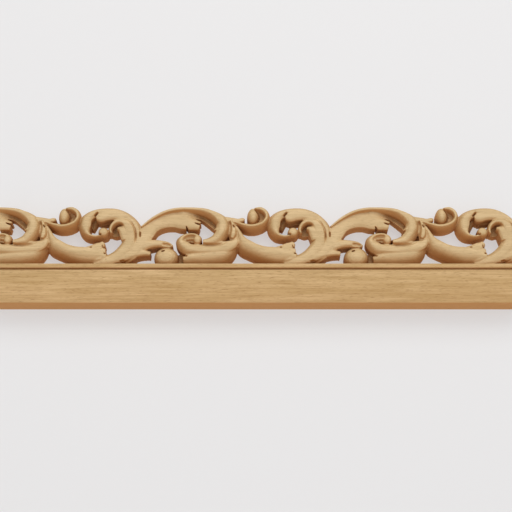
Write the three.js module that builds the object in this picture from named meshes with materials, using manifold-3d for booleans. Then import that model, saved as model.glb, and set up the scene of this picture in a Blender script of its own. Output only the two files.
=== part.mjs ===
// A length of pierced acanthus moulding, carved from one oak board: a plain band with a
// fillet along its top, and above it a running scroll of stems, husks and curling leaves,
// cut right through between them. It is fixed by its flat back.
//
// X runs along the moulding, +Z is up and the carving faces -Y. The back lies in the plane
// y = 0, and the origin is on it, halfway up the band and halfway along. Millimetres.
import * as THREE from "three";
import { mergeVertices } from "three/addons/utils/BufferGeometryUtils.js";
import Module from "manifold-3d";

const wasm = await Module();
wasm.setup();

// Driving dimensions.
const LENGTH = 406; // the length shown, cut square at both ends
const BAND_HEIGHT = 31.5;
const BAND_DEPTH = 19; // from the back to the plain face
const FILLET_HEIGHT = 3.5;
const FILLET_PROJECTION = 1; // how far the fillet stands out from the plain face
const QUIRK_WIDTH = 1.2; // the fine groove under the fillet
const QUIRK_DEPTH = 1;
const SCROLL_HEIGHT = 49; // from the band's top to the highest leaf
const SCROLL_DEPTH = 18.5; // from the back to the highest crest
const REPEAT = 149; // from one sprouting point of the scroll to the next
const FIRST_SPROUT = -15.6; // the middle repeat's sprouting point, from the moulding's middle
const BURIED = 1.2; // how far the scroll's feet run down into the band

// The scroll is drawn on squared paper, as a carver's pattern is. One repeat is 191 squares
// long and 58 squares high, counted from the sprouting point and from the band's top.
const SQUARES_LONG = 191;
const SQUARES_HIGH = 57.9;
const squareX = REPEAT / SQUARES_LONG;
const squareZ = SCROLL_HEIGHT / SQUARES_HIGH;
const square = (squareX + squareZ) / 2;
const bandTop = BAND_HEIGHT / 2;

// Sections across a strand, from its right edge to its left as it runs: heights as shares
// of its crest. The first and last are where the face meets the upright cheeks.
const NARROW = [0.8, 1, 0.8];
const LEAFLET = [0.94, 1, 0.94];
const ROUND = [0.76, 1, 1, 0.76];
const FLAT = [0.93, 1, 1, 0.93];
const LEFT_CREST = [0.48, 0.87, 1, 0.92];
const RIGHT_CREST = [0.92, 0.96, 0.82, 0.48];
const INNER_CREST = [0.6, 0.92, 1, 0.9];
const HOLLOW = [1, 0.8, 0.74, 0.8];
const RIM = [0.75, 1, 0.92];
const ROLL = [0.84, 1, 0.95, 0.64];
const SHARP_TURN = THREE.MathUtils.degToRad(45); // past this, a bend gets one more section

// Each strand is a chain of points along its middle: squares along, squares up, half its
// width in squares, and its crest as a share of the scroll's depth.
const STRANDS = [
  // The husk that sprouts downwards and lies along the band, with three ragged tips.
  { face: LEFT_CREST, points: [
    [-0.5, 38, 1.6, 0.84], [1.6, 32, 3.4, 0.88], [4.4, 25.6, 5.1, 0.9], [8.6, 20.1, 7, 0.9],
    [13.4, 16.7, 7.2, 0.9], [19, 14.2, 7.1, 0.9], [28, 11.2, 7.8, 0.9], [40, 9, 9.2, 0.9],
    [51, 8.4, 9, 0.86]] },
  { face: LEAFLET, points: [
    [38, 14, 5, 0.86], [47, 16, 4.7, 0.9], [54, 18.4, 4.6, 0.9], [57.8, 22.2, 2.2, 0.86]] },
  { face: LEAFLET, points: [[43, 11, 5, 0.86], [54, 13.2, 4, 0.88], [60, 13.8, 2.6, 0.84]] },
  { face: LEAFLET, points: [[47, 7.5, 4, 0.82], [55, 9.3, 3, 0.84], [60.4, 10.6, 1.6, 0.8]] },
  // The stem that rises out of the husk and curls over inside the ring.
  { face: ROUND, points: [
    [48, 5, 4.4, 0.8], [60, 6, 5.4, 0.84], [70, 9, 5.6, 0.87], [77.5, 15.5, 6.4, 0.9],
    [82.4, 23, 6.5, 0.93], [82.9, 31, 6.4, 0.97], [82, 36.5, 5.9, 1], [78.5, 40.9, 4, 1],
    [74, 42.4, 2.9, 0.98], [69.5, 41.7, 2.6, 0.96], [65.8, 38.7, 2.3, 0.92], [64.2, 34.7, 2, 0.88],
    [65.3, 31.5, 1.6, 0.84]] },
  { face: LEAFLET, points: [
    [80.5, 25, 4.6, 0.92], [78, 31.5, 4.6, 0.96], [75, 34.8, 3.4, 0.96], [71.3, 36, 1.6, 0.88]] },
  // The ring that arches over it and ends in a bud.
  { face: INNER_CREST, points: [
    [93, 19, 3.4, 0.86], [93, 30, 3.6, 0.88], [91, 37.4, 4.2, 0.89], [86, 43.2, 4.9, 0.9],
    [79, 48.3, 5.2, 0.9], [70, 51.9, 5.2, 0.91], [61, 53, 4.9, 0.92], [52, 52.6, 4.5, 0.93],
    [44.4, 50, 5, 0.94], [39.2, 45.3, 6, 0.94], [37.8, 39, 6.2, 0.93], [38.4, 34.3, 5, 0.92],
    [40.5, 30.6, 3.4, 0.9], [44, 28.5, 2.2, 0.88], [50, 27.7, 1.8, 0.86], [57, 29.5, 1.8, 0.86]] },
  { face: FLAT, points: [
    [80, 44.5, 3.6, 0.86], [70, 48.8, 5, 0.9], [61, 49, 5.2, 0.92], [54, 47.2, 4.9, 0.91],
    [49.8, 47.1, 3.2, 0.86]] },
  // The broad arched leaf, and the hollow that runs out from under its rim.
  { face: FLAT, points: [
    [78, 8, 5, 0.84], [86.5, 14, 7, 0.85], [94, 23, 8.2, 0.86], [100.3, 31.6, 7.9, 0.83],
    [107.5, 39.3, 6.9, 0.79], [117.5, 44.4, 7.7, 0.77], [128.5, 45.8, 8.2, 0.77], [137, 43.6, 7.9, 0.77],
    [145, 41.3, 6.2, 0.79], [154.4, 39.1, 4.3, 0.8]] },
  { face: HOLLOW, points: [
    [138, 50.6, 2.8, 0.85], [148, 50.2, 4.2, 0.74], [156.5, 49.6, 3.7, 0.56], [163.6, 45.4, 3.9, 0.56],
    [169.6, 40, 3.5, 0.62], [172, 36.6, 2.9, 0.62]] },
  // The rim of the arch, which swells into a roll and turns back under it.
  { face: RIM, points: [
    [95.5, 37.5, 1.1, 0.86], [107, 45.7, 1.6, 0.91], [119, 51.7, 1.8, 0.92], [131, 54.4, 1.9, 0.92],
    [143, 54.6, 2.1, 0.92], [155, 53.6, 2.7, 0.93], [164, 51.2, 3.2, 0.94]] },
  { face: ROLL, points: [
    [157, 54.1, 1.4, 0.9], [164, 52.3, 2.4, 0.95], [171, 49, 3.6, 0.97], [176.4, 43.8, 5.5, 0.99],
    [178, 37.5, 6.9, 1], [176.8, 31, 6.1, 1], [171.5, 24.9, 6.2, 0.97], [164.5, 22.9, 4.6, 0.96],
    [157.6, 22.7, 3.2, 0.93]] },
  { face: NARROW, points: [[176, 37.8, 3, 0.9], [172, 35.4, 2.5, 0.92], [168.4, 33.8, 1.2, 0.84]] },
  // The scroll that winds up to the left over the berry, the thin leaf inside its coil, the
  // ground that ties it to the berry, and the broad leaf under it.
  { face: FLAT, points: [
    [192, 26, 2, 0.84], [190, 22.8, 3.6, 0.87], [186, 19.8, 4.8, 0.89], [179, 18, 5.6, 0.9],
    [158, 15.9, 4.9, 0.9], [149, 15.7, 4.7, 0.9], [142.3, 16.5, 5.6, 0.9], [137, 19.8, 5.2, 0.89],
    [134.6, 24.2, 4.2, 0.87], [137.2, 28, 3, 0.86], [142.4, 30.1, 2.3, 0.85], [148.4, 30.2, 2, 0.85],
    [153, 28.3, 2, 0.85], [154.8, 26, 2, 0.84]] },
  { face: NARROW, points: [[150, 25.8, 1.4, 0.84], [145, 25.6, 1.2, 0.84], [140.5, 25, 0.8, 0.8]] },
  { face: NARROW, points: [[128, 7, 4.6, 0.26], [138, 9.5, 6, 0.32], [148, 11, 6, 0.4]] },
  { face: RIGHT_CREST, points: [
    [190.6, 20, 2.6, 0.84], [187.2, 14, 4.8, 0.87], [180, 9.6, 7.2, 0.9], [170, 8, 8.2, 0.9],
    [158, 7, 8.2, 0.88], [149, 6.6, 7.2, 0.84], [142.5, 5.6, 6, 0.79], [137.8, 5.2, 5, 0.74]] },
  // The small curl that springs to the right, with the leaf tip above it.
  { face: LEFT_CREST, points: [
    [-7, 44.4, 1.3, 0.8], [-1, 41.6, 1.8, 0.84], [8, 38.3, 2.9, 0.9], [15, 37, 3, 0.92],
    [22, 38, 3, 0.92], [28.2, 41, 2.9, 0.92], [31.5, 46.5, 2.6, 0.92], [30, 51.8, 2.7, 0.92],
    [25.4, 54.6, 2.6, 0.92], [20.8, 54.9, 1.9, 0.9], [18, 55, 1, 0.86]] },
  { face: LEAFLET, points: [
    [-14, 45, 3.4, 0.86], [-5, 44.6, 2.7, 0.83], [2, 44.2, 2.2, 0.8], [6.4, 44.9, 2.4, 0.78],
    [8.4, 44.6, 1.7, 0.74]] },
  // The heart of the sprouting point, and the leaflet folded over it.
  { face: LEAFLET, points: [[0, 18, 2, 0.74], [-1.5, 25, 4.6, 0.8], [-2, 32, 5, 0.82], [-3.5, 40, 3, 0.84]] },
  { face: ROUND, points: [
    [-5.4, 44, 1.4, 0.88], [-3.4, 39.6, 2.4, 0.92], [-2.4, 34.5, 3.3, 0.95], [-2.9, 29.6, 3.8, 0.96],
    [-4.2, 26.2, 2.7, 0.92]] },
  // The two lobes beside the berry: one laps over it, the other points at its foot.
  { face: LEAFLET, points: [
    [90, 15, 5, 0.8], [97, 19, 5.2, 0.85], [104, 20.8, 4.2, 0.88], [112, 21.3, 3.5, 0.89],
    [122, 20.3, 2.8, 0.88], [127.4, 19, 1.1, 0.8]] },
  { face: LEAFLET, points: [
    [71, 7.2, 5, 0.85], [79, 9.4, 5, 0.87], [86, 11.4, 4.6, 0.86], [92, 12.4, 3.9, 0.83],
    [99, 12.7, 3, 0.79], [105, 12.2, 2.4, 0.74]] },
];

// Slits sawn in from the edges of the broad leaf, drawn in the same way.
const SLITS = [
  [[142.6, 33, 1.6, 1], [141.4, 36.5, 0.9, 1], [139.8, 39.6, 0.1, 1]],
  [[155, 40.2, 1.1, 1], [151.5, 41, 0.8, 1], [148, 42.3, 0.1, 1]],
];

// Buds, berries and the dished grounds inside the small curls, turned about an axis along Y:
// squares along and up, half width and half height in squares. A profile runs from the rim
// to the middle in pairs, the share of the radius and the share of the scroll's depth.
const DOME = [[1, 0.6], [0.93, 0.78], [0.66, 0.9], [0, 0.93]];
const BERRY = [[1, 0.45], [0.9, 0.66], [0.58, 0.86], [0, 0.93]];
const DISH = [[1, 0.5], [0, 0.44]];
const BOWL = [[1, 0.74], [0, 0.62]];
const TURNED_SIDES = 11;
const TURNED = [
  { profile: DOME, x: 57.2, z: 32.4, halfX: 5.4, halfZ: 4.9 },
  { profile: DOME, x: 152.2, z: 24.9, halfX: 4.4, halfZ: 4.8 },
  { profile: BERRY, x: 120.5, z: 8.6, halfX: 12.1, halfZ: 9.8 },
  { profile: BERRY, x: 17.3, z: 48, halfX: 6, halfZ: 8 },
  { profile: BOWL, x: 24.5, z: 47.4, halfX: 6.4, halfZ: 7 },
  { profile: DISH, x: 69.8, z: 35.8, halfX: 5.6, halfZ: 5.8 },
  { profile: BOWL, x: 145.4, z: 24.8, halfX: 7.4, halfZ: 4.9 },
  { profile: DISH, x: -8, z: 24.5, halfX: 5, halfZ: 4.5 },
];

const MERGE_WITHIN = 1e-4; // corners this close are one corner
const AMPLE = 2; // a cutting block's size against what it has to take in

function solid(geometry) {
  const bare = geometry.clone().deleteAttribute("normal").deleteAttribute("uv");
  const merged = mergeVertices(bare, MERGE_WITHIN);
  return new wasm.Manifold(new wasm.Mesh({
    numProp: 3,
    vertProperties: merged.attributes.position.array,
    triVerts: new Uint32Array(merged.index.array),
  }));
}

function toGeometry(manifold) {
  const { vertProperties, triVerts } = manifold.getMesh();
  const geometry = new THREE.BufferGeometry();
  geometry.setAttribute("position", new THREE.BufferAttribute(vertProperties, 3));
  geometry.setIndex(new THREE.BufferAttribute(triVerts, 1));
  return geometry;
}

const joined = (solids) => solids.reduce((sum, next) => sum.add(next));

// A cylinder's skin laid over a row of sections, each a ring of corners.
function skin(sections) {
  const sides = sections[0].length;
  const spans = sections.length - 1;
  const geometry = new THREE.CylinderGeometry(1, 1, spans, sides, spans);
  const position = geometry.attributes.position;
  for (let i = 0; i < position.count; i += 1) {
    const [x, y, z] = [position.getX(i), position.getY(i), position.getZ(i)];
    const ring = sections[Math.round(spans / 2 - y)];
    const corner = new THREE.Vector3();
    const atCapMiddle = Math.hypot(x, z) < 0.5;
    if (atCapMiddle) {
      ring.forEach((point) => corner.addScaledVector(point, 1 / sides));
    } else {
      corner.copy(ring[Math.round((Math.atan2(x, z) / (2 * Math.PI) + 1) * sides) % sides]);
    }
    position.setXYZ(i, corner.x, corner.y, corner.z);
  }
  return geometry;
}

function strand({ points, face }) {
  const curve = (corners) => new THREE.CatmullRomCurve3(corners, false, "catmullrom");
  const middle = curve(points.map(([x, z]) => new THREE.Vector3(x * squareX, 0, bandTop + z * squareZ)));
  const girth = curve(points.map(([, , half, crest]) => (
    new THREE.Vector3(half * square, crest * SCROLL_DEPTH, 0))));
  const spans = points.length - 1;
  const stations = [0];
  for (let i = 1; i <= spans; i += 1) {
    const turn = middle.getTangent((i - 1) / spans).angleTo(middle.getTangent(i / spans));
    if (turn > SHARP_TURN) stations.push((i - 0.5) / spans);
    stations.push(i / spans);
  }
  const sections = stations.map((t) => {
    const at = middle.getPoint(t);
    const run = middle.getTangent(t);
    const { x: half, y: crest } = girth.getPoint(t);
    const corner = (share, depth) => new THREE.Vector3(
      at.x - run.z * half * share, -depth, at.z + run.x * half * share);
    const ridge = face.map((height, n) => corner((2 * n) / (face.length - 1) - 1, height * crest));
    return [corner(-1, 0), ...ridge, corner(1, 0)];
  });
  return solid(skin(sections));
}

function turned({ profile, x, z, halfX, halfZ }) {
  const outline = [[0, 0], [1, 0], ...profile].map(([radius, depth]) => new THREE.Vector2(radius, -depth));
  return solid(new THREE.LatheGeometry(outline.reverse(), TURNED_SIDES)
    .scale(halfX * squareX, SCROLL_DEPTH, halfZ * squareZ)
    .translate(x * squareX, 0, bandTop + z * squareZ));
}

// The repeats that the moulding's length takes in, cut square at its ends and above the
// line where the scroll's feet end inside the band.
function scroll() {
  const cuts = SLITS.map((points) => strand({ points, face: FLAT }));
  const carved = joined([...STRANDS.map(strand), ...TURNED.map(turned)]).subtract(joined(cuts));
  const repeat = toGeometry(carved);
  repeat.computeBoundingBox();
  const { min, max } = repeat.boundingBox;
  const first = Math.ceil((-LENGTH / 2 - FIRST_SPROUT - max.x) / REPEAT);
  const last = Math.floor((LENGTH / 2 - FIRST_SPROUT - min.x) / REPEAT);
  const repeats = [];
  for (let i = first; i <= last; i += 1) {
    repeats.push(solid(repeat.clone().translate(FIRST_SPROUT + i * REPEAT, 0, 0)));
  }
  const height = BURIED + AMPLE * SCROLL_HEIGHT;
  const room = new THREE.BoxGeometry(LENGTH, 2 * AMPLE * SCROLL_DEPTH, height);
  room.translate(0, 0, bandTop - BURIED + height / 2);
  return joined(repeats).intersect(solid(room));
}

function band() {
  const foot = -BAND_HEIGHT / 2;
  const filletFoot = bandTop - FILLET_HEIGHT;
  const filletDepth = BAND_DEPTH + FILLET_PROJECTION;
  const section = new THREE.Shape([
    [0, foot], [BAND_DEPTH, foot], [BAND_DEPTH, filletFoot - QUIRK_WIDTH],
    [BAND_DEPTH - QUIRK_DEPTH, filletFoot - QUIRK_WIDTH], [BAND_DEPTH - QUIRK_DEPTH, filletFoot],
    [filletDepth, filletFoot], [filletDepth, bandTop], [0, bandTop],
  ].map(([depth, height]) => new THREE.Vector2(depth, height)));
  const geometry = new THREE.ExtrudeGeometry(section, { depth: LENGTH, bevelEnabled: false });
  const lying = new THREE.Matrix4().makeBasis(
    new THREE.Vector3(0, -1, 0), new THREE.Vector3(0, 0, 1), new THREE.Vector3(-1, 0, 0));
  return solid(geometry.applyMatrix4(lying).translate(LENGTH / 2, 0, 0));
}

const oak = new THREE.MeshStandardMaterial({ name: "oak", color: 0xc8a673, roughness: 0.62, metalness: 0 });

const carving = toGeometry(band().add(scroll())).toNonIndexed();
carving.computeVertexNormals();
const moulding = new THREE.Mesh(carving, oak);
moulding.name = "moulding";

const group = new THREE.Group();
group.add(moulding);

export default group;
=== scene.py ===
import math

import bmesh
import bpy
import numpy as np
from mathutils import Matrix, Vector
from mathutils.bvhtree import BVHTree


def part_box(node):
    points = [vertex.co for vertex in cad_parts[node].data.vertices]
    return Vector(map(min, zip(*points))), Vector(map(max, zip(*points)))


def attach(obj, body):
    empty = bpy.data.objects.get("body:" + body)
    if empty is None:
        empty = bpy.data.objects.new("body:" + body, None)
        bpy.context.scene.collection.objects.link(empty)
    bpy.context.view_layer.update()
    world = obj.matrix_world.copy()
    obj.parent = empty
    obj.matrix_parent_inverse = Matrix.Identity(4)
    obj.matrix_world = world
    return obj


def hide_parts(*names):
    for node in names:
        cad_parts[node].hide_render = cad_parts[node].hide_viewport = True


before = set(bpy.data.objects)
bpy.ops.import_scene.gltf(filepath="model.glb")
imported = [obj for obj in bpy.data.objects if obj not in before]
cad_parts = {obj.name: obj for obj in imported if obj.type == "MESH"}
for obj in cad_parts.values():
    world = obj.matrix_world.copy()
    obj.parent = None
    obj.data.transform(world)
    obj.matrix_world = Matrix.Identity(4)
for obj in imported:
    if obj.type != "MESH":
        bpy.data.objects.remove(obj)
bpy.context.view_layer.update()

MM = 0.001

# Sizes of the moulding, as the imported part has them.
low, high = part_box("moulding")
LENGTH = high.x - low.x
BAND_HEIGHT = 31.5 * MM
BAND_DEPTH = 19 * MM
FILLET_HEIGHT = 3.5 * MM
FILLET_PROJECTION = 1 * MM
QUIRK_WIDTH = 1.2 * MM
QUIRK_DEPTH = 1 * MM
SCROLL_HEIGHT = 49 * MM
SCROLL_DEPTH = 18.5 * MM
REPEAT = 149 * MM
FIRST_SPROUT = -15.6 * MM  # where a repeat starts, along the moulding
BURIED = 1.2 * MM  # how far the scroll reaches down into the band
SPARE = 4 * MM  # what is carved past the ends and the foot, and trimmed off
EASED = 0.3 * MM  # the easing of the band's long edges
SQUARES_LONG = 191
SQUARES_HIGH = 57.9
SQUARE_X = REPEAT / SQUARES_LONG
SQUARE_Z = SCROLL_HEIGHT / SQUARES_HIGH
SQUARE = (SQUARE_X + SQUARE_Z) / 2
BAND_TOP = BAND_HEIGHT / 2

# How finely the carving is made.
STEPS = 6  # sections between two points of a strand
ACROSS = 13  # corners across a strand's face
SKIN = 0.34 * MM  # the squares of the merged skin
SOFTENING = 2
TRIANGLES = 185000
TURNED_SIDES = 28
RAYS = 14  # looks out of the surface, for its shade
RAY_REACH = 12 * MM
SHARP = math.radians(38)  # a steeper edge than this isn't shaded smooth

# Sections across a strand, from its right edge to its left as it runs: shares of its crest.
NARROW = [0.8, 1, 0.8]
ROUND = [0.76, 0.97, 1, 0.97, 0.76]
FLAT = [0.91, 0.99, 1, 0.99, 0.91]
LEFT_CREST = [0.48, 0.8, 0.95, 1, 0.92]
RIGHT_CREST = [0.9, 0.95, 0.89, 0.74, 0.48]
INNER_CREST = [0.62, 0.9, 1, 0.98, 0.9]
HOLLOW = [1, 0.86, 0.76, 0.72, 0.8]
EVEN = [0.88, 0.88, 0.86, 0.86, 0.86]
THIN_RIM = [0.84, 0.98, 1, 1, 0.92]
STEM = [0.93, 1, 1, 0.96, 0.78]
RIM = [0.7, 0.9, 1, 1, 0.92]
ROLL = [0.88, 0.98, 1, 0.88, 0.64]

# Each strand's sections from its start to its end, and its points: squares along, squares up,
# half width in squares, crest as a share of the scroll's depth.
STRANDS = [
    # The husk that lies along the band, with ragged tips.
    ([LEFT_CREST], [
        (-0.5, 38, 1.6, 0.84), (1.6, 32, 3.4, 0.88), (4, 25.4, 5.2, 0.9), (8, 19.8, 7.2, 0.9),
        (13.4, 16.7, 7.2, 0.9), (19, 14.2, 7.1, 0.9), (28, 11.2, 7.8, 0.9), (40, 9, 9.2, 0.9),
        (50, 8.4, 8.8, 0.88), (60, 6.4, 5.8, 0.86)]),
    ([FLAT], [
        (38, 13, 5, 0.8), (47, 15.4, 4.9, 0.87), (54, 18.4, 4.6, 0.88), (57.8, 22.2, 2.2, 0.86)]),
    ([FLAT], [(38, 10, 5, 0.76), (50, 12, 5, 0.86), (56, 13.6, 3.8, 0.86), (60, 13.8, 2.6, 0.84)]),
    ([FLAT], [(44, 6.5, 4, 0.7), (54, 8, 4, 0.83), (58.5, 9.8, 2.6, 0.83), (60.4, 10.6, 1.6, 0.8)]),
    # The stem that rises out of the husk and curls over inside the ring.
    ([STEM, STEM, ROUND], [
        (48, 4, 4.4, 0.7), (60, 5.2, 5.4, 0.84), (70, 8.6, 6, 0.87), (78, 15.3, 6.2, 0.9),
        (82.8, 23, 6.1, 0.93), (83, 31, 6.3, 0.97), (82, 36.5, 5.9, 1), (78.5, 40.9, 4, 1),
        (74, 42.4, 2.9, 0.98), (69.5, 41.7, 2.6, 0.96), (65.8, 38.7, 2.3, 0.92),
        (64.2, 34.7, 2, 0.88), (65.3, 31.5, 1.6, 0.84)]),
    ([FLAT], [
        (80.5, 25, 4.6, 0.92), (78, 31.5, 4.6, 0.96), (75, 34.8, 3.4, 0.96),
        (71.3, 36, 1.6, 0.88)]),
    # The ring that arches over it and ends in a bud.
    ([INNER_CREST, INNER_CREST, LEFT_CREST], [
        (93, 15, 3.4, 0.8), (93, 22, 3.4, 0.86), (93, 30, 3.6, 0.88), (91, 37.4, 4.2, 0.89),
        (86, 43.2, 4.9, 0.9), (79, 48.3, 5.2, 0.9), (70, 51.9, 5.2, 0.91), (61, 53, 4.9, 0.92),
        (52, 52.6, 4.5, 0.93), (44.4, 50, 5, 0.94), (39.2, 45.3, 6, 0.94), (37.8, 39, 6.2, 0.93),
        (38.4, 34.3, 5, 0.92), (40.5, 30.6, 3.4, 0.9), (44, 28.5, 2.2, 0.88), (50, 27.7, 1.8, 0.86),
        (57, 29.5, 1.8, 0.86)]),
    ([FLAT], [
        (86, 39, 2.6, 0.8), (80, 44.5, 3.9, 0.89), (70, 48.8, 5, 0.92), (61, 49, 5.4, 0.94),
        (54, 46.9, 5, 0.93), (49.6, 46.6, 3, 0.88)]),
    # The ground that slopes down inside the ring.
    ([NARROW], [
        (50, 47, 2, 0.5), (47.4, 43, 2.6, 0.45), (46.2, 39.4, 2, 0.4), (46, 36.8, 1, 0.36)]),
    ([NARROW], [(66, 46, 3.4, 0.55), (60, 45.4, 3.6, 0.55), (53.5, 44.6, 3.6, 0.55)]),
    # The broad arched leaf, and the hollow that runs out from under its rim.
    ([FLAT], [
        (74, 3, 3, 0.45), (80, 7.5, 5.4, 0.74), (86.5, 13.5, 7.2, 0.85), (94, 23, 8.2, 0.86),
        (100.3, 31.6, 7.9, 0.83), (107.5, 39.3, 6.9, 0.79), (117.5, 44.4, 7.7, 0.77),
        (128.5, 45.8, 8.2, 0.77), (137, 43.6, 7.9, 0.77), (145, 41.3, 6.2, 0.79),
        (154.4, 39.1, 4.3, 0.8)]),
    ([EVEN, EVEN, HOLLOW, HOLLOW, HOLLOW], [
        (128, 50.5, 1.5, 0.8), (138, 50.6, 2.8, 0.87), (148, 50.2, 4.2, 0.76),
        (156.5, 49.6, 3.7, 0.56), (163.6, 45.4, 3.9, 0.56), (169.6, 40, 3.5, 0.62),
        (172, 36.6, 2.9, 0.62)]),
    # The rim of the arch, and the roll that it swells into.
    ([THIN_RIM, THIN_RIM, RIM, RIM], [
        (95.5, 37.5, 1.1, 0.86), (107, 45.7, 1.6, 0.91), (119, 51.7, 1.8, 0.92),
        (131, 54.4, 1.9, 0.92), (143, 54.6, 2.1, 0.92), (155, 53.4, 2.8, 0.93),
        (163.6, 50.9, 3.5, 0.95), (170, 46.8, 3.8, 0.96), (173.4, 42, 3, 0.95)]),
    ([ROUND, ROUND, ROLL, ROUND], [
        (157, 54.1, 1.4, 0.9), (164, 52.3, 2.4, 0.95), (171, 49, 3.6, 0.97),
        (176.4, 43.8, 5.5, 0.99), (178, 37.5, 6.9, 1), (176.8, 31, 6.1, 1),
        (171.5, 24.9, 6.2, 0.97), (164.5, 22.9, 4.6, 0.96), (157.6, 22.7, 3.2, 0.93)]),
    ([NARROW], [(176, 37.8, 3, 0.9), (172, 35.4, 2.5, 0.92), (168.4, 33.8, 1.2, 0.84)]),
    # The scroll that winds up to the left over the berry, and the broad leaf under it.
    ([FLAT, FLAT, ROLL, ROUND], [
        (192, 26, 2, 0.84), (190, 22.8, 3.6, 0.87), (186, 19.8, 4.8, 0.89), (179, 18, 5.6, 0.9),
        (168, 17.2, 5.7, 0.9), (158, 15.9, 4.9, 0.9), (149, 15.7, 4.7, 0.9),
        (142.3, 16.5, 5.6, 0.9), (137, 19.8, 5.2, 0.89), (134.6, 24.2, 4.2, 0.87),
        (137.2, 28.2, 3, 0.86), (142.4, 30.4, 2.3, 0.85), (148.4, 30.5, 2, 0.85),
        (153, 28.5, 2, 0.85), (154.8, 26, 2, 0.84)]),
    ([NARROW], [(150, 25.8, 1.4, 0.84), (145, 25.6, 1.2, 0.84), (140.5, 25, 0.8, 0.8)]),
    ([FLAT], [(128, 7, 4.6, 0.26), (138, 9.5, 6, 0.32), (148, 11, 6, 0.4)]),
    ([RIGHT_CREST], [
        (189.9, 19.7, 2.6, 0.84), (186, 13.9, 4.7, 0.87), (178.8, 9.4, 7.1, 0.9),
        (170, 8, 8.2, 0.9), (158, 7, 8.2, 0.88), (149, 6.6, 7.2, 0.84), (142.5, 5.6, 6, 0.79),
        (137.8, 5.2, 5, 0.74)]),
    # The small curl that springs to the right, with the leaf tip above it.
    ([LEFT_CREST, LEFT_CREST, LEFT_CREST, ROUND, ROUND], [
        (-7, 44.4, 1.3, 0.8), (-1, 41.6, 1.8, 0.84), (8, 38.3, 2.9, 0.9), (15, 37, 3, 0.92),
        (22, 38, 3, 0.92), (28.2, 41, 2.9, 0.92), (31.5, 46.5, 2.6, 0.92), (30, 51.8, 2.7, 0.92),
        (25.4, 54.9, 2.7, 0.92), (20.8, 55.4, 1.9, 0.9), (18, 55.4, 1, 0.86)]),
    ([FLAT], [
        (-14, 45, 3.4, 0.86), (-5, 44.6, 2.7, 0.83), (2, 44.2, 2.2, 0.8), (6.4, 44.9, 2.4, 0.78),
        (8.4, 44.6, 1.7, 0.74)]),
    # The heart of the sprouting point, and the leaflet folded over it.
    ([FLAT], [(0, 18, 2, 0.74), (-1.5, 25, 4.6, 0.8), (-2, 32, 5, 0.82), (-3.5, 40, 3, 0.84)]),
    ([ROUND], [
        (-5.4, 44, 1.4, 0.88), (-3.4, 39.6, 2.4, 0.92), (-2.4, 34.5, 3.3, 0.95),
        (-2.9, 29.6, 3.8, 0.96), (-4.2, 26.2, 2.7, 0.92)]),
    # The two lobes beside the berry: one laps over it, the other points at its foot.
    ([FLAT], [
        (90, 15, 5, 0.7), (97, 19, 5.2, 0.85), (104, 20.8, 4.2, 0.88), (112, 21.3, 3.5, 0.89),
        (122, 20.3, 2.8, 0.88), (127.4, 19, 1.1, 0.8)]),
    ([FLAT], [
        (62, 5.4, 4, 0.78), (71, 7.2, 5, 0.85), (79, 9.4, 5, 0.87), (86, 11.4, 4.6, 0.86),
        (92, 12.4, 3.9, 0.83), (99, 12.7, 3, 0.79), (105, 12.2, 2.4, 0.74)]),
]

# Slits sawn in from the edges of the broad leaf, right through it.
SLIT_START = 2 * MM  # behind the back
SLIT_DEPTH = 1.4  # as a share of the scroll's depth, so that it comes out of the face
SLITS = [
    [(142.6, 33, 1.6, 1), (141.4, 36.5, 0.9, 1), (139.8, 39.6, 0.1, 1)],
    [(155, 40.2, 1.1, 1), (151.5, 41, 0.8, 1), (148, 42.3, 0.1, 1)],
]

# Buds, berries and dished grounds: profile, middle, half width and half height in squares. A
# profile runs from the foot to the middle: shares of the radius and of the scroll's depth.
DOME = [(1, 0), (1, 0.6), (0.98, 0.7), (0.9, 0.8), (0.72, 0.875), (0.4, 0.92), (0, 0.935)]
BERRY = [
    (1, 0), (1, 0.4), (0.97, 0.55), (0.88, 0.68), (0.73, 0.79), (0.52, 0.87), (0.27, 0.92),
    (0, 0.935)]
DISH = [(1, 0), (1, 0.5), (0.5, 0.455), (0, 0.44)]
BOWL = [(1, 0), (1, 0.74), (0.6, 0.62), (0, 0.58)]
SHALLOW = [(1, 0), (1, 0.78), (0.6, 0.72), (0, 0.7)]
TURNED = [
    (DOME, 57.2, 32.4, 5.4, 4.9),
    (DOME, 152.2, 24.9, 4.4, 4.8),
    (BERRY, 120.7, 8.7, 12.4, 10.5),
    (BERRY, 17.1, 48.5, 6.3, 9.2),
    (BOWL, 24.5, 47.4, 6.4, 7),
    (DISH, 69.4, 35.6, 6.8, 5.7),
    (SHALLOW, 145.4, 24.8, 7.4, 4.9),
    (DISH, -8, 24.5, 5, 4.5),
]

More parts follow.
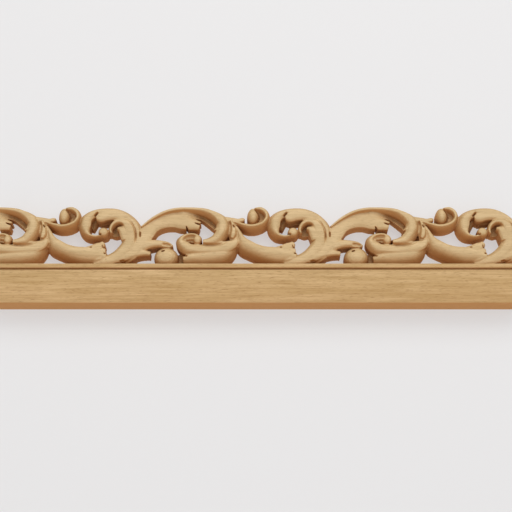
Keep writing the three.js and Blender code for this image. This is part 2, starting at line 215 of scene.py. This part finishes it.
# Gouge lines, in squares: the way that each runs, its width to the right and to the left of
# that way, and its depth in millimetres. It runs out to nothing at both ends.
GOUGES = [
    ([(82, 44), (86, 40), (88.6, 35.5), (89.8, 30), (89.8, 21)], 1.1, 1.1, 1.7),
    ([(94.2, 33), (94.3, 30), (94.3, 27)], 1.1, 1.1, 2.6),
    ([(77.5, 38.2), (75.5, 39.3), (73, 40), (69, 38)], 0.9, 0.9, 1.4),
    ([(76.5, 36.6), (74.5, 37.4), (72, 37)], 0.7, 0.7, 0.9),
    ([(43.5, 17.8), (46.4, 17.2)], 0.8, 0.8, 1.5),
    ([(56.6, 17.2), (58.6, 17.4), (61, 17.2)], 0.8, 0.8, 2.6),
    ([(56.2, 19.8), (56.8, 18.6), (56.8, 17.2)], 0.6, 0.6, 1.4),
    ([(58, 11.6), (60.4, 11.4)], 0.7, 0.7, 2),
    ([(74, 3.6), (77.5, 4.6), (80, 4)], 1, 1, 2.4),
    ([(137, 9.3), (139.5, 10.2), (142.5, 9.6)], 1, 1, 2.4),
    ([(-3.5, 39), (-2.4, 37.4), (-1.5, 36)], 0.8, 0.8, 2.2),
    ([(51.6, 51.4), (50, 49.8), (47.6, 47.2)], 1.2, 1.2, 3.4),
    ([(18, 56.8), (19.4, 53.8), (22, 50.8), (23.4, 47.8), (22, 43.6), (18.6, 40.6)], 1, 1, 2.6),
    ([(116, 20.6), (121.4, 20.2), (126.4, 18.6)], 2.4, 1.5, 2.2),
    ([(143.4, 23), (146, 22), (149.4, 21.6)], 1, 1, 3),
    ([(154.6, 19.9), (161, 19), (168, 18.8), (175, 19.8), (182, 22.4)], 1.2, 2.5, 2.3),
    ([(116.8, 13.6), (118.6, 14)], 1, 1, 3.4),
    ([(52.2, 30.9), (53.8, 30.2), (55.4, 29.8)], 0.9, 0.9, 3.2),
]

# The oak's colours and the painted light and shade laid over them, and how strongly the later ones
# cover what lies under them.
DARK_BAND = (0.53, 0.35, 0.155, 1)
LIGHT_BAND = (0.72, 0.50, 0.26, 1)
STREAK, STREAK_SHARE = (0.42, 0.255, 0.10, 1), 0.55
PORE, PORE_SHARE = (0.27, 0.14, 0.05, 1), 0.6
# Painted highlight: a lighter colour on carved faces that turn to the front, towards the lamps.
FRONT_HIGHLIGHT, FRONT_HIGHLIGHT_SHARE = (0.80, 0.62, 0.37, 1), 0.36
# Painted shade: darker and redder on undersides and steep sides.
UNDERSIDE_SHADE, UNDERSIDE_SHADE_SHARE = (0.58, 0.27, 0.092, 1), 0.85
# Painted shade in hollows, creases, sunk grounds and the quirk.
HOLLOW_SHADE = (0.25, 0.075, 0.014, 1)
QUIRK_SHADE = 0.45  # at least this dark in the quirk
SUNK_SHADE = 0.42  # at least this dark on a sunk ground


def curve(points, t):
    """A smooth curve through the points, at t from 0 to 1."""
    spans = len(points) - 1
    i = min(int(t * spans), spans - 1)
    u = t * spans - i
    rows = [np.array(point, float) for point in points]
    a = rows[i - 1] if i else 2 * rows[0] - rows[1]
    b, c = rows[i], rows[i + 1]
    d = rows[i + 2] if i + 2 <= spans else 2 * rows[-1] - rows[-2]
    bend = (2 * a - 5 * b + 4 * c - d) * u ** 2 + (3 * b - a - 3 * c + d) * u ** 3
    return 0.5 * (2 * b + (c - a) * u + bend)


def place(x, z):
    """A place on the squared paper, in metres."""
    return x * SQUARE_X, BAND_TOP + z * SQUARE_Z


def section(faces, points, t, corners):
    """The ring of corners of a strand's section at t."""
    x, z, half, crest = curve(points, t)
    nudge = 1e-3
    before, after = curve(points, max(t - nudge, 0)), curve(points, min(t + nudge, 1))
    run = np.array([(after[0] - before[0]) * SQUARE_X, (after[1] - before[1]) * SQUARE_Z])
    run = run / np.linalg.norm(run)
    middle = place(x, z)
    half = max(half, 0.05) * SQUARE
    profile = curve(faces, t) if len(faces) > 1 else faces[0]
    ring = []
    for n in range(corners):
        share = n / (corners - 1)
        height = float(curve([(value,) for value in profile], share)[0])
        offset = (2 * share - 1) * half
        depth = height * crest * SCROLL_DEPTH
        ring.append(Vector((middle[0] - run[1] * offset, -depth, middle[1] + run[0] * offset)))
    return [Vector((ring[0].x, 0, ring[0].z)), *ring, Vector((ring[-1].x, 0, ring[-1].z))]


def strand(faces, points, steps=STEPS, corners=ACROSS):
    """A strand swept from station to station."""
    stations = (len(points) - 1) * steps
    bm = bmesh.new()
    ring = section(faces, points, 0, corners)
    front = bm.faces.new([bm.verts.new(corner) for corner in ring])
    for n in range(1, stations + 1):
        ring = section(faces, points, n / stations, corners)
        made = bmesh.ops.extrude_face_region(bm, geom=[front])["geom"]
        if n > 1:
            bmesh.ops.delete(bm, geom=[front], context="FACES_ONLY")
        front = next(item for item in made if isinstance(item, bmesh.types.BMFace))
        for vert, corner in zip(front.verts, ring):
            vert.co = corner
    bmesh.ops.recalc_face_normals(bm, faces=bm.faces)
    return bm


def turned(profile, x, z, half_x, half_z):
    """A bud, berry or dished ground, spun about an axis along Y and stretched to its size."""
    bm = bmesh.new()
    corners = [bm.verts.new((0, 0, 0))]
    corners += [bm.verts.new((radius, -depth * SCROLL_DEPTH, 0)) for radius, depth in profile]
    edges = [bm.edges.new(pair) for pair in zip(corners, corners[1:])]
    bmesh.ops.spin(bm, geom=corners + edges, cent=(0, 0, 0), axis=(0, 1, 0), angle=math.tau,
                   steps=TURNED_SIDES, use_merge=True)
    bmesh.ops.remove_doubles(bm, verts=bm.verts, dist=1e-6)
    bmesh.ops.scale(bm, vec=(half_x * SQUARE_X, 1, half_z * SQUARE_Z), verts=bm.verts)
    middle = place(x, z)
    bmesh.ops.translate(bm, vec=(middle[0], 0, middle[1]), verts=bm.verts)
    bmesh.ops.recalc_face_normals(bm, faces=bm.faces)
    return bm


def as_object(bm, name):
    """A finished bmesh as an object in the scene."""
    mesh = bpy.data.meshes.new(name)
    bm.to_mesh(mesh)
    bm.free()
    piece = bpy.data.objects.new(name, mesh)
    bpy.context.scene.collection.objects.link(piece)
    return piece


def gathered(shells, name):
    """Several shells as one object."""
    together = bmesh.new()
    for shell in shells:
        mesh = bpy.data.meshes.new("shell")
        shell.to_mesh(mesh)
        shell.free()
        together.from_mesh(mesh)
        bpy.data.meshes.remove(mesh)
    return as_object(together, name)


def finished(piece, kind, **settings):
    """Applies one modifier to the piece."""
    modifier = piece.modifiers.new(kind.title(), kind)
    for name, value in settings.items():
        setattr(modifier, name, value)
    shown = piece.evaluated_get(bpy.context.evaluated_depsgraph_get())
    shaped = bpy.data.meshes.new_from_object(shown)
    piece.modifiers.clear()
    old = piece.data
    piece.data = shaped
    bpy.data.meshes.remove(old)
    return piece


def combined(piece, other, operation):
    """A solid joined with, cut by or kept inside another."""
    finished(piece, "BOOLEAN", object=other, operation=operation, solver="MANIFOLD")
    bpy.data.objects.remove(other)
    return piece


def coordinates(mesh):
    """The places of the mesh's vertices, one to a row."""
    places = np.empty(len(mesh.vertices) * 3)
    mesh.vertices.foreach_get("co", places)
    return places.reshape(-1, 3)


def cut_gouge(places, line, right, left, depth):
    """Sinks the face along a line, most in its middle, and less towards the back."""
    line = np.array([place(*point) for point in line])
    reach = max(right, left) * SQUARE
    flat = places[:, [0, 2]]
    inside = np.all((flat > line.min(0) - reach) & (flat < line.max(0) + reach), axis=1)
    chosen = np.nonzero(inside)[0]
    spot = flat[chosen]
    nearest = np.full(len(chosen), np.inf)
    side = np.zeros(len(chosen))
    along = np.zeros(len(chosen))
    lengths = np.linalg.norm(np.diff(line, axis=0), axis=1)
    total = lengths.sum()
    starts = np.cumsum(lengths) - lengths
    for start, end, length, before in zip(line, line[1:], lengths, starts):
        way = (end - start) / length
        reached = np.clip((spot - start) @ way, 0, length)
        gap = spot - (start + reached[:, None] * way)
        distance = np.linalg.norm(gap, axis=1)
        closer = distance < nearest
        nearest[closer] = distance[closer]
        side[closer] = (way[0] * gap[:, 1] - way[1] * gap[:, 0])[closer]
        along[closer] = ((before + reached) / total)[closer]
    width = np.where(side > 0, left, right) * SQUARE
    dip = np.clip(1 - (nearest / width) ** 2, 0, 1) ** 1.5
    run_out = np.clip(np.minimum(along, 1 - along) * 4, 0, 1) if total > 3 * reach else 1
    front = np.clip(-places[chosen, 1] / SCROLL_DEPTH, 0, 1)
    places[chosen, 1] += depth * MM * dip * run_out * front


def scroll():
    """The carved scroll, longer than the moulding at both ends."""
    shells = [strand(faces, points) for faces, points in STRANDS]
    shells += [turned(*item) for item in TURNED]
    repeat = gathered(shells, "repeat")
    mesh = repeat.data
    spread = coordinates(mesh)[:, 0]
    first = math.ceil((low.x - FIRST_SPROUT - spread.max()) / REPEAT)
    last = math.floor((high.x - FIRST_SPROUT - spread.min()) / REPEAT)
    moves = [FIRST_SPROUT + n * REPEAT for n in range(first, last + 1)]
    together = bmesh.new()
    for move in moves:
        start = len(together.verts)
        together.from_mesh(mesh)
        together.verts.ensure_lookup_table()
        bmesh.ops.translate(together, vec=(move, 0, 0), verts=together.verts[start:])
    bpy.data.objects.remove(repeat)
    carving = as_object(together, "carving")
    finished(carving, "REMESH", mode="VOXEL", voxel_size=SKIN)
    wider = room(low.x - SPARE, high.x + SPARE, BAND_TOP - SPARE, BAND_TOP + 2 * SCROLL_HEIGHT)
    combined(carving, wider, "INTERSECT")
    slits = []
    for move in moves:
        for points in SLITS:
            slit = strand([[1, 1, 1]], points, corners=3)
            bmesh.ops.scale(slit, vec=(1, SLIT_DEPTH, 1), verts=slit.verts)
            bmesh.ops.translate(slit, vec=(move, SLIT_START, 0), verts=slit.verts)
            slits.append(slit)
    combined(carving, gathered(slits, "slits"), "DIFFERENCE")
    finished(carving, "REMESH", mode="VOXEL", voxel_size=SKIN)
    finished(carving, "SMOOTH", factor=0.5, iterations=SOFTENING)
    places = coordinates(carving.data)
    for move in moves:
        places[:, 0] -= move
        for gouge in GOUGES:
            cut_gouge(places, *gouge)
        places[:, 0] += move
    carving.data.vertices.foreach_set("co", places.ravel())
    before = 2 * len(carving.data.polygons)
    finished(carving, "DECIMATE", ratio=min(1, TRIANGLES / before))
    return carving


def room(left, right, foot, top):
    """A block that takes in what is between these planes."""
    bm = bmesh.new()
    bmesh.ops.create_cube(bm, size=1)
    bmesh.ops.scale(bm, vec=(right - left, 4 * SCROLL_DEPTH, top - foot), verts=bm.verts)
    bmesh.ops.translate(bm, vec=((left + right) / 2, 0, (foot + top) / 2), verts=bm.verts)
    return as_object(bm, "room")


def band():
    """The plain band with its quirk and fillet, and its long edges just eased."""
    foot = -BAND_HEIGHT / 2
    fillet_foot = BAND_TOP - FILLET_HEIGHT
    fillet_depth = BAND_DEPTH + FILLET_PROJECTION
    quirk_foot = fillet_foot - QUIRK_WIDTH
    quirk_bottom = BAND_DEPTH - QUIRK_DEPTH
    outline = [
        (0, foot), (BAND_DEPTH, foot), (BAND_DEPTH, quirk_foot), (quirk_bottom, quirk_foot),
        (quirk_bottom, fillet_foot), (fillet_depth, fillet_foot), (fillet_depth, BAND_TOP),
        (0, BAND_TOP),
    ]
    bm = bmesh.new()
    end = bm.faces.new([bm.verts.new((low.x, -depth, height)) for depth, height in outline])
    made = bmesh.ops.extrude_face_region(bm, geom=[end])["geom"]
    moved = [item for item in made if isinstance(item, bmesh.types.BMVert)]
    bmesh.ops.translate(bm, vec=(LENGTH, 0, 0), verts=moved)
    bmesh.ops.recalc_face_normals(bm, faces=bm.faces)
    long_edges = [edge for edge in bm.edges if edge.calc_length() > LENGTH / 2]
    bmesh.ops.bevel(bm, geom=long_edges, offset=EASED, offset_type="OFFSET", affect="EDGES",
                    segments=2, profile=0.5, material=-1)
    return as_object(bm, "band")


def moulding():
    """The scroll cut square at its ends and foot, on its band."""
    carving = scroll()
    length = room(low.x, high.x, BAND_TOP - BURIED, BAND_TOP + 2 * SCROLL_HEIGHT)
    combined(carving, length, "INTERSECT")
    combined(carving, band(), "UNION")
    carving.name = "carved_moulding"
    carving.data.name = "carved_moulding"
    return carving


def shut_in(mesh):
    """For each vertex, the share of the rays out of the surface that meet wood within reach."""
    tree = BVHTree.FromPolygons([v.co for v in mesh.vertices], [p.vertices for p in mesh.polygons])
    turn_each = 2.4
    lift = 0.05 * MM
    ways = []
    for n in range(RAYS):
        height = 0.15 + 0.8 * (n + 0.5) / RAYS
        spread = math.sqrt(1 - height * height)
        around = turn_each * n
        ways.append(Vector((math.cos(around) * spread, math.sin(around) * spread, height)))
    shut = np.zeros(len(mesh.vertices))
    for vertex in mesh.vertices:
        turn = vertex.normal.to_track_quat("Z", "Y")
        start = vertex.co + vertex.normal * lift
        met = [way for way in ways if tree.ray_cast(start, turn @ way, RAY_REACH)[0] is not None]
        shut[vertex.index] = len(met) / RAYS
    return shut


def set_value(mesh, name, values):
    """Keeps a value for each vertex, which the oak reads by name."""
    attribute = mesh.attributes.new(name, "FLOAT", "POINT")
    attribute.data.foreach_set("value", values.astype(np.float32))


def node(tree, kind, inputs=(), **settings):
    """A node with its inputs set or linked."""
    made = tree.nodes.new(kind)
    for name, value in settings.items():
        setattr(made, name, value)
    for name, value in dict(inputs).items():
        socket = made.inputs[name]
        if isinstance(value, bpy.types.NodeSocket):
            tree.links.new(value, socket)
        else:
            socket.default_value = value
    return made


def oak_grain():
    """The grain of oak along X: wide soft bands, fine streaks and short dark pores."""
    group = bpy.data.node_groups.new("oak_grain", "ShaderNodeTree")
    face = group.interface
    face.new_socket("Vector", in_out="INPUT", socket_type="NodeSocketVector")
    for name, value in (("Band length", 60), ("Band width", 4), ("Streak width", 0.8),
                        ("Pore length", 5), ("Pore width", 0.35)):
        size = face.new_socket(name, in_out="INPUT", socket_type="NodeSocketFloat")
        size.default_value = value
    for name in ("Bands", "Streaks", "Pores"):
        face.new_socket(name, in_out="OUTPUT", socket_type="NodeSocketFloat")
    start = group.nodes.new("NodeGroupInput").outputs
    end = group.nodes.new("NodeGroupOutput").inputs

    def stretched(length, width):
        along = node(group, "ShaderNodeMath", {0: 1 / MM, 1: length}, operation="DIVIDE").outputs[0]
        up = node(group, "ShaderNodeMath", {0: 1 / MM, 1: width}, operation="DIVIDE").outputs[0]
        scale = node(group, "ShaderNodeCombineXYZ", {"X": along, "Y": up, "Z": up}).outputs[0]
        return node(group, "ShaderNodeVectorMath", {
            0: start["Vector"], 1: scale}, operation="MULTIPLY").outputs[0]

    bands = node(group, "ShaderNodeTexNoise", {
        "Vector": stretched(start["Band length"], start["Band width"]),
        "Scale": 1.0, "Detail": 3.0, "Distortion": 0.4})
    long_streak = node(group, "ShaderNodeMath", {
        0: start["Band length"], 1: 0.5}, operation="MULTIPLY").outputs[0]
    streaks = node(group, "ShaderNodeTexNoise", {
        "Vector": stretched(long_streak, start["Streak width"]), "Scale": 1.0, "Detail": 4.0})
    pores = node(group, "ShaderNodeTexNoise", {
        "Vector": stretched(start["Pore length"], start["Pore width"]),
        "Scale": 1.0, "Detail": 1.0})
    for noise, least, most, name in (
            (bands, 0.3, 0.7, "Bands"),
            (streaks, 0.35, 0.65, "Streaks"),
            (pores, 0.6, 0.7, "Pores")):
        ranged = node(group, "ShaderNodeMapRange", {
            "Value": noise.outputs["Fac"], "From Min": least, "From Max": most})
        group.links.new(ranged.outputs[0], end[name])
    return group


def oak_material():
    """Sanded oak: its grain, a painted highlight on carved faces that turn to the front, painted
    shade darker and redder on undersides and steep sides, and painted shade in the hollows.
    """
    material = bpy.data.materials.new("oak")
    material.use_nodes = True
    tree = material.node_tree
    shader = tree.nodes["Principled BSDF"]
    where = node(tree, "ShaderNodeTexCoord").outputs["Object"]
    grain = node(tree, "ShaderNodeGroup", node_tree=oak_grain())
    tree.links.new(where, grain.inputs["Vector"])
    # hollow and side carry painted shade and crest a painted highlight; side also raises the
    # roughness.
    hollow = node(tree, "ShaderNodeAttribute", attribute_name="hollow").outputs["Fac"]
    side = node(tree, "ShaderNodeAttribute", attribute_name="side").outputs["Fac"]
    crest = node(tree, "ShaderNodeAttribute", attribute_name="crest").outputs["Fac"]

    def mixed(share, first, second):
        made = node(tree, "ShaderNodeMix", data_type="RGBA")
        for socket, value in (("Factor_Float", share), ("A_Color", first), ("B_Color", second)):
            target = next(s for s in made.inputs if s.identifier == socket)
            if isinstance(value, bpy.types.NodeSocket):
                tree.links.new(value, target)
            else:
                target.default_value = value
        return next(s for s in made.outputs if s.identifier == "Result_Color")

    def scaled(value, factor):
        return node(tree, "ShaderNodeMath", {0: value, 1: factor}, operation="MULTIPLY").outputs[0]

    base = mixed(grain.outputs["Bands"], DARK_BAND, LIGHT_BAND)
    streaked = mixed(scaled(grain.outputs["Streaks"], STREAK_SHARE), base, STREAK)
    pored = mixed(scaled(grain.outputs["Pores"], PORE_SHARE), streaked, PORE)
    # Painted highlight on carved faces that turn to the front, where the crest attribute is high.
    highlighted = mixed(scaled(crest, FRONT_HIGHLIGHT_SHARE), pored, FRONT_HIGHLIGHT)
    # Painted shade on undersides and steep sides, where the side attribute is high.
    cut = mixed(scaled(side, UNDERSIDE_SHADE_SHARE), highlighted, UNDERSIDE_SHADE)
    # Painted shade in the hollows, where the hollow attribute is high.
    tree.links.new(mixed(hollow, cut, HOLLOW_SHADE), shader.inputs["Base Color"])
    rough = node(tree, "ShaderNodeMapRange", {
        "Value": grain.outputs["Pores"], "To Min": 0.5, "To Max": 0.7}).outputs[0]
    cut_rough = node(tree, "ShaderNodeMath", {
        0: side, 1: 0.3, 2: rough}, operation="MULTIPLY_ADD").outputs[0]
    tree.links.new(cut_rough, shader.inputs["Roughness"])
    shader.inputs["Specular IOR Level"].default_value = 0.1
    height = node(tree, "ShaderNodeMath", {
        0: scaled(grain.outputs["Streaks"], -0.4),
        1: scaled(grain.outputs["Pores"], -1.0)}, operation="ADD").outputs[0]
    bump = node(tree, "ShaderNodeBump", {"Height": height, "Strength": 0.35, "Distance": 0.08 * MM})
    tree.links.new(bump.outputs["Normal"], shader.inputs["Normal"])
    return material


def camera():
    """The photograph's view: a long lens looking up from a little below."""
    pitch = math.radians(18)
    distance = 1.17
    aimed_at = 38.2 * MM  # above the foot of the band
    target = Vector((0, -0.018, low.z + aimed_at))
    back = Vector((0, -math.cos(pitch), -math.sin(pitch)))
    view = bpy.data.cameras.new("camera")
    view.sensor_width = 36
    view.lens = 105.47
    holder = bpy.data.objects.new("camera", view)
    holder.location = target + back * distance
    holder.rotation_euler = (-back).to_track_quat("-Z", "Y").to_euler()
    bpy.context.scene.collection.objects.link(holder)
    bpy.context.scene.camera = holder


def lamp(name, place_at, size, power):
    """A soft square lamp that looks at the middle of the moulding."""
    light = bpy.data.lights.new(name, "AREA")
    light.shape = "RECTANGLE"
    light.size, light.size_y = size
    light.energy = power
    holder = bpy.data.objects.new(name, light)
    holder.location = place_at
    holder.visible_camera = False
    middle = Vector((0, 0, 0.02))
    way = middle - Vector(place_at)
    holder.rotation_euler = way.to_track_quat("-Z", "Y").to_euler()
    bpy.context.scene.collection.objects.link(holder)


def stage():
    """A pale wall that only shows from its front, and a pale floor far below."""
    floor_colour = (0.82, 0.81, 0.815, 1)
    wall_colour = (0.334, 0.334, 0.334, 1)
    wall_glow, glow_strength = (1, 0.98, 0.98, 1), 0.474
    behind_back, floor_height = 0.5 * MM, -0.7
    pale = bpy.data.materials.new("pale")
    pale.use_nodes = True
    shader = pale.node_tree.nodes["Principled BSDF"]
    shader.inputs["Base Color"].default_value = floor_colour
    shader.inputs["Roughness"].default_value = 0.9
    one_sided = pale.copy()
    one_sided.name = "pale_one_sided"
    tree = one_sided.node_tree
    shader = tree.nodes["Principled BSDF"]
    shader.inputs["Base Color"].default_value = wall_colour
    shader.inputs["Emission Color"].default_value = wall_glow
    shader.inputs["Emission Strength"].default_value = glow_strength
    clear = node(tree, "ShaderNodeBsdfTransparent")
    behind = node(tree, "ShaderNodeNewGeometry").outputs["Backfacing"]
    mix = node(tree, "ShaderNodeMixShader", {"Fac": behind})
    tree.links.new(shader.outputs[0], mix.inputs[1])
    tree.links.new(clear.outputs[0], mix.inputs[2])
    tree.links.new(mix.outputs[0], tree.nodes["Material Output"].inputs["Surface"])
    for name, turn, spot, material in (
            ("wall", math.radians(90), (0, behind_back, 0), one_sided),
            ("floor", 0, (0, 0, floor_height), pale)):
        bm = bmesh.new()
        bmesh.ops.create_grid(bm, x_segments=1, y_segments=1, size=3)
        bmesh.ops.rotate(bm, cent=(0, 0, 0), matrix=Matrix.Rotation(turn, 3, "X"), verts=bm.verts)
        bmesh.ops.translate(bm, vec=spot, verts=bm.verts)
        sheet = as_object(bm, name)
        sheet.data.materials.append(material)


def shade(mesh):
    """Masks of painted light at each vertex, from 0 to 1: painted shade on undersides and steep
    sides, a painted highlight on carved faces that turn to the front, and painted shade in hollows.
    """
    normals = np.array([v.normal for v in mesh.vertices])
    depths, heights = -coordinates(mesh)[:, 1] / SCROLL_DEPTH, coordinates(mesh)[:, 2]
    ahead, up = -normals[:, 1], normals[:, 2]
    carved = heights > BAND_TOP
    quirk_top = BAND_TOP - FILLET_HEIGHT
    in_quirk = (heights < quirk_top + 0.1 * MM) & (heights > quirk_top - QUIRK_WIDTH) & (ahead > 0)
    # Sunk grounds that face the front get painted shade and lose the painted highlight.
    sunk = carved * np.clip((0.78 - depths) / 0.25, 0, 1) * np.clip(ahead, 0, 1)
    # Painted shade where rays out of the surface meet wood within reach, as in creases and
    # recesses; at least this dark on sunk grounds and in the quirk.
    hollow = (shut_in(mesh) * 1.08 - 0.3).clip(0, 1) ** 1.3
    hollow = np.maximum(hollow, SUNK_SHADE * sunk)
    hollow = np.where(in_quirk, np.maximum(hollow, QUIRK_SHADE), hollow)
    # Painted shade, strongest on undersides and then on steep sides; the oak's roughness reads it
    # too.
    set_value(mesh, "side", np.clip(1 - np.abs(ahead) * 1.2 - up * 0.6, 0, 1))
    # Painted highlight: carved faces that turn to the front, but not sunk grounds.
    set_value(mesh, "crest", carved * (1 - sunk) * np.clip(ahead * 3 - 1.8, 0, 1))
    set_value(mesh, "hollow", hollow)


camera()
piece = moulding()
piece.data.materials.clear()
piece.data.materials.append(oak_material())
for polygon in piece.data.polygons:
    polygon.material_index = 0
piece.data.shade_smooth()
piece.data.set_sharp_from_angle(angle=SHARP)
shade(piece.data)
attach(piece, "root")
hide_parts("moulding")

stage()
lamp("key", (0.1, -1.2, 1.1), size=(1.2, 0.9), power=12)
lamp("fill", (0.3, -1.8, 0.2), size=(2, 1.6), power=6)
world = bpy.data.worlds.new("world")
world.use_nodes = True
world.node_tree.nodes["Background"].inputs["Color"].default_value = (1, 1, 1, 1)
world.node_tree.nodes["Background"].inputs["Strength"].default_value = 0.5
bpy.context.scene.world = world
bpy.context.scene.view_settings.view_transform = "Standard"
